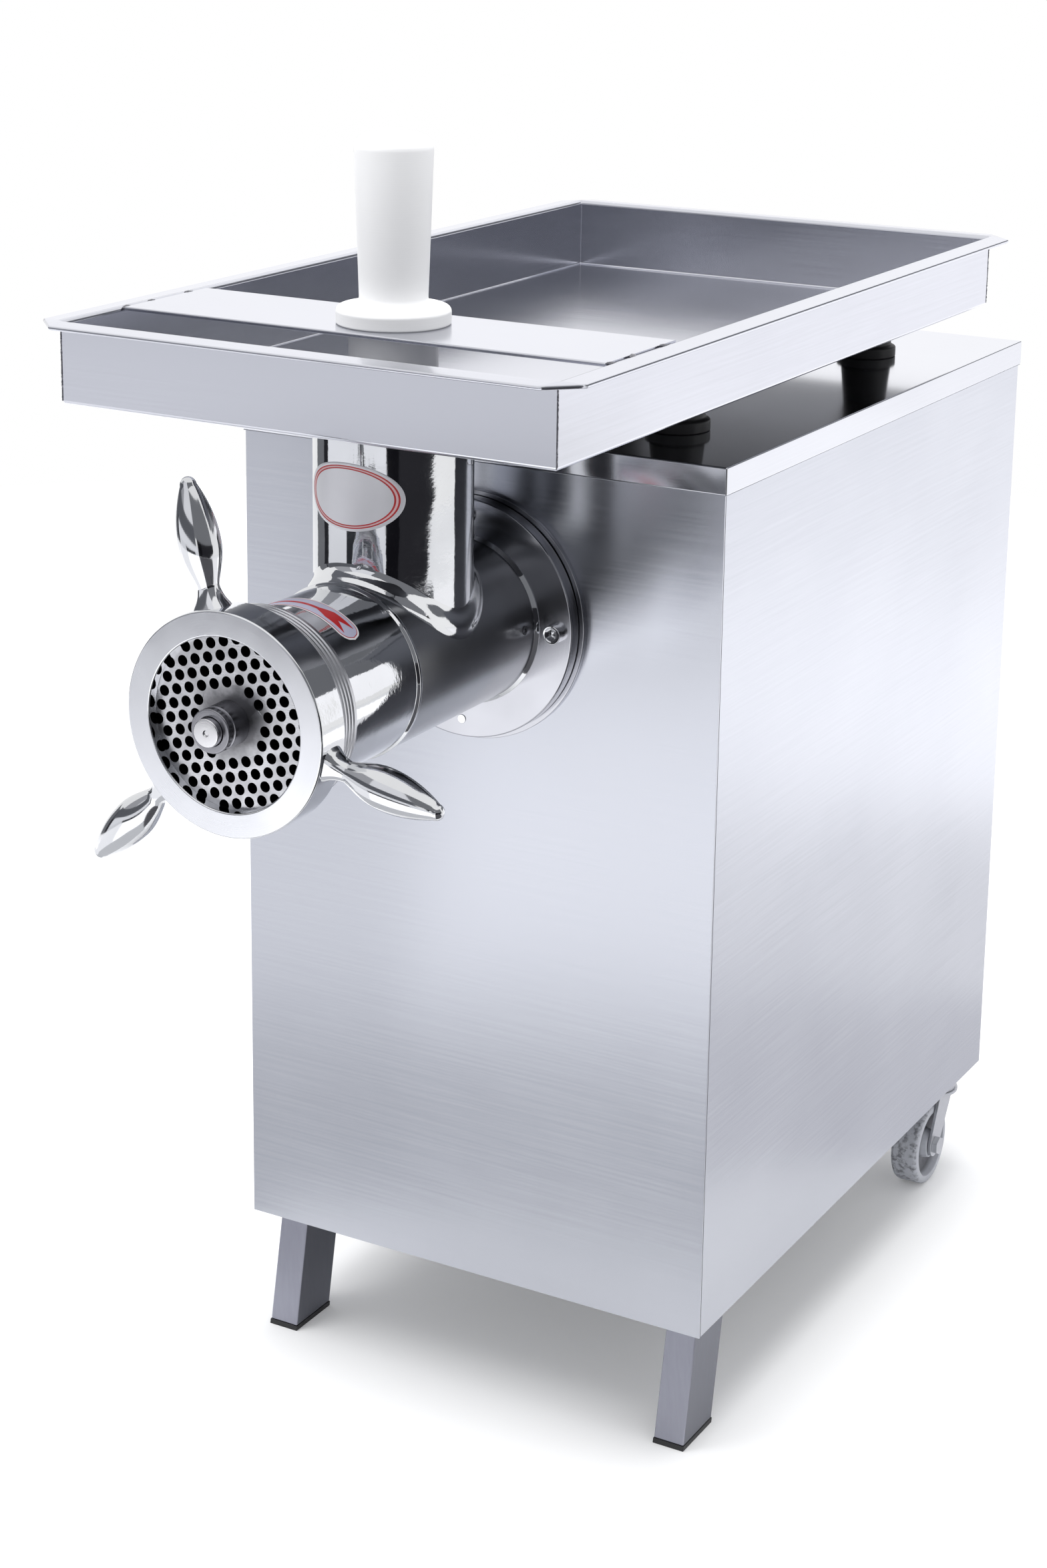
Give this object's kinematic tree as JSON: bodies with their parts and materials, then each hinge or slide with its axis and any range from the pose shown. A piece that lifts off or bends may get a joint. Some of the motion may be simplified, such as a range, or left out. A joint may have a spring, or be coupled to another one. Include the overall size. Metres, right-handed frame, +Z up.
{
  "type": "electric meat grinder",
  "caption": "Floor-standing electric meat grinder: steel cabinet on legs and casters, overhanging feed tray with plunger, and a grinding head with a three-handled ring nut.",
  "frame": {"origin": "middle of the machine's bounding box at floor level", "axes": "+Z up, -Y out of the grinding head towards the user, +X to the right of someone who faces the ring nut"},
  "size_m": [0.438, 0.972, 1.029],
  "materials": {
    "brushed_sheet": "fine brushed stainless sheet",
    "polished_lid": "polished stainless sheet",
    "polished_head": "polished stainless steel, turned and buffed",
    "tray_sheet": "satin stainless sheet",
    "leg_steel": "satin stainless tube",
    "zinc_steel": "bright zinc-plated steel",
    "tool_steel": "ground tool steel",
    "dark_steel": "blackened steel",
    "frame_paint": "grey primer on mild steel",
    "gearbox_iron": "painted cast iron",
    "motor_paint": "blue-grey enamel",
    "black_rubber": "moulded black rubber",
    "wheel_nylon": "off-white polyamide",
    "plunger_plastic": "white food-grade plastic, turned",
    "black_plastic": "black moulded plastic",
    "green_button": "green moulded plastic",
    "red_button": "red moulded plastic"
  },
  "bodies": {
    "cabinet": {"front_panel": "brushed_sheet", "side_panel_l": "brushed_sheet", "side_panel_r": "brushed_sheet", "rear_panel": "brushed_sheet", "panel_screws": "zinc_steel", "lid": "polished_lid", "base_plate": "frame_paint", "inner_frame": "frame_paint", "front_leg_l": "leg_steel", "front_leg_r": "leg_steel", "leg_pads": "black_rubber", "caster_plates": "zinc_steel", "head_barrel": "polished_head", "feed_tube": "polished_head", "head_flange": "polished_head", "mounting_disc": "polished_head", "flange_bolts": "dark_steel", "output_bearings": "zinc_steel", "gearbox_housing": "gearbox_iron", "gearbox_cover": "gearbox_iron", "cover_screws": "dark_steel", "pinion_bearings": "zinc_steel", "drive_belts": "black_rubber", "motor_stator": "motor_paint", "motor_front_bell": "motor_paint", "motor_rear_bell": "motor_paint", "fan_cowl": "motor_paint", "motor_rails": "frame_paint", "motor_bolts": "zinc_steel", "tray_feet": "black_rubber", "switch_box": "black_plastic", "cable_gland": "black_plastic"},
    "worm_drive": {"worm": "polished_head", "worm_pin": "tool_steel", "knife": "tool_steel", "output_shaft": "tool_steel", "drive_gear": "tool_steel"},
    "countershaft": {"pinion_shaft": "tool_steel", "driven_pulley": "gearbox_iron"},
    "motor_shaft": {"motor_rotor": "tool_steel", "motor_pulley": "gearbox_iron", "motor_fan": "black_plastic"},
    "grinding_plate": {"die_plate": "tool_steel", "plate_bush": "tool_steel"},
    "ring": {"ring_nut": "polished_head", "ring_handle_1": "polished_head", "ring_handle_2": "polished_head", "ring_handle_3": "polished_head"},
    "feed_tray": {"tray": "tray_sheet", "tray_collar": "tray_sheet", "bridge": "tray_sheet"},
    "pusher": {"plunger": "plunger_plastic"},
    "start": {"start_button": "green_button"},
    "stop": {"stop_button": "red_button"},
    "caster_left": {"caster_fork_l": "zinc_steel", "caster_axle_l": "zinc_steel"},
    "caster_right": {"caster_fork_r": "zinc_steel", "caster_axle_r": "zinc_steel"},
    "wheel_left": {"caster_wheel_l": "wheel_nylon"},
    "wheel_right": {"caster_wheel_r": "wheel_nylon"}
  },
  "joints": [
    {"name": "worm_turn", "type": "hinge", "parent": "cabinet", "child": "worm_drive", "pos_m": [0, -0.253, 0.656], "axis": [0, 1, 0], "continuous": true},
    {"name": "countershaft_turn", "type": "hinge", "parent": "cabinet", "child": "countershaft", "pos_m": [0, -0.078, 0.539], "axis": [0, 1, 0], "continuous": true},
    {"name": "motor_turn", "type": "hinge", "parent": "cabinet", "child": "motor_shaft", "pos_m": [0, 0.142, 0.223], "axis": [0, 1, 0], "continuous": true},
    {"name": "plate_out", "type": "slide", "parent": "cabinet", "child": "grinding_plate", "axis": [0, -1, 0], "range_m": [0, 0.0226]},
    {"name": "ring_turn", "type": "hinge", "parent": "grinding_plate", "child": "ring", "pos_m": [0, -0.452, 0.656], "axis": [0, 1, 0], "range_deg": [0, 1350]},
    {"name": "tray_lift", "type": "slide", "parent": "cabinet", "child": "feed_tray", "axis": [0, 0, 1], "range_m": [0, 0.1]},
    {"name": "plunger_lift", "type": "slide", "parent": "feed_tray", "child": "pusher", "axis": [0, 0, 1], "range_m": [0, 0.165]},
    {"name": "start_press", "type": "slide", "parent": "cabinet", "child": "start", "axis": [1, 0, 0], "range_m": [0, 0.004], "stiffness_N_per_m": 600, "springref_m": -0.002},
    {"name": "stop_press", "type": "slide", "parent": "cabinet", "child": "stop", "axis": [1, 0, 0], "range_m": [0, 0.004], "stiffness_N_per_m": 600, "springref_m": -0.002},
    {"name": "caster_left_swivel", "type": "hinge", "parent": "cabinet", "child": "caster_left", "pos_m": [-0.174, 0.43, 0.092], "axis": [0, 0, 1], "continuous": true},
    {"name": "caster_right_swivel", "type": "hinge", "parent": "cabinet", "child": "caster_right", "pos_m": [0.174, 0.43, 0.092], "axis": [0, 0, 1], "continuous": true},
    {"name": "wheel_left_turn", "type": "hinge", "parent": "caster_left", "child": "wheel_left", "pos_m": [-0.174, 0.402, 0.038], "axis": [1, 0, 0], "continuous": true},
    {"name": "wheel_right_turn", "type": "hinge", "parent": "caster_right", "child": "wheel_right", "pos_m": [0.174, 0.402, 0.038], "axis": [1, 0, 0], "continuous": true}
  ],
  "couplings": [
    {"joint": "countershaft_turn", "follows": "worm_turn", "ratio": -3.3333},
    {"joint": "motor_turn", "follows": "worm_turn", "ratio": -8.3333},
    {"joint": "plate_out", "follows": "ring_turn", "m_per_rad": 0.00095493}
  ]
}
